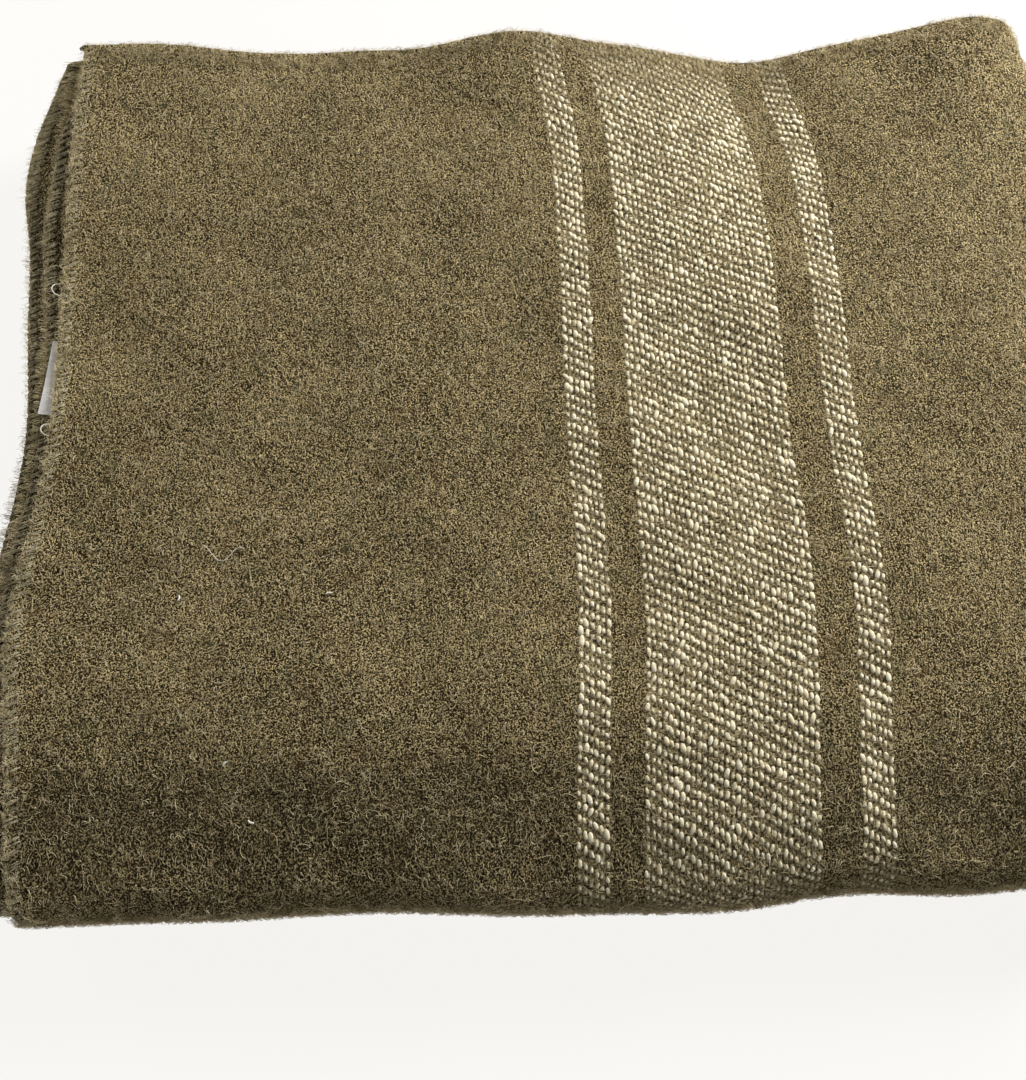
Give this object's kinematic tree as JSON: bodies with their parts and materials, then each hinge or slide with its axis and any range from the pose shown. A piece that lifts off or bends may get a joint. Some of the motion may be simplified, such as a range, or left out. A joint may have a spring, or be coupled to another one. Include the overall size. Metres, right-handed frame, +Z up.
{
  "type": "folded camp blanket",
  "caption": "Heavy wool camp blanket with woven pale stripes, folded flat for storage; the upper half opens towards the front about the last fold.",
  "frame": {"origin": "centre of the folded blanket's box, on the surface it rests on", "axes": "+X along the cloth's length, from the stitched cut ends at the left to the side folds at the right; +Y from the front fold to the back; +Z up"},
  "size_m": [0.52, 0.4284, 0.0617],
  "materials": {
    "wool_cloth": "brushed olive-brown wool twill with three woven cream stripes",
    "overlock_thread": "matt olive yarn, overlock stitched",
    "label": "plain white woven tape"
  },
  "bodies": {
    "lower_half": {"cloth_lower_outer": "wool_cloth", "cloth_lower_inner": "wool_cloth", "first_edging_lower_outer": "overlock_thread", "first_edging_lower_inner": "overlock_thread", "last_edging_lower_outer": "overlock_thread", "last_edging_lower_inner": "overlock_thread", "cloth_front_outer": "wool_cloth", "cloth_front_inner": "wool_cloth", "first_edging_front_outer": "overlock_thread", "first_edging_front_inner": "overlock_thread", "last_edging_front_outer": "overlock_thread", "last_edging_front_inner": "overlock_thread"},
    "upper_half": {"cloth_upper": "wool_cloth", "first_edging_upper": "overlock_thread", "last_edging_upper": "overlock_thread", "care_label": "label"}
  },
  "joints": [
    {"name": "front_fold", "type": "hinge", "parent": "lower_half", "child": "upper_half", "pos_m": [0, -0.18333, 0.03085], "axis": [1, 0, 0], "range_deg": [0, 178], "deforming": ["cloth_front_outer", "cloth_front_inner", "first_edging_front_outer", "first_edging_front_inner", "last_edging_front_outer", "last_edging_front_inner"]}
  ]
}
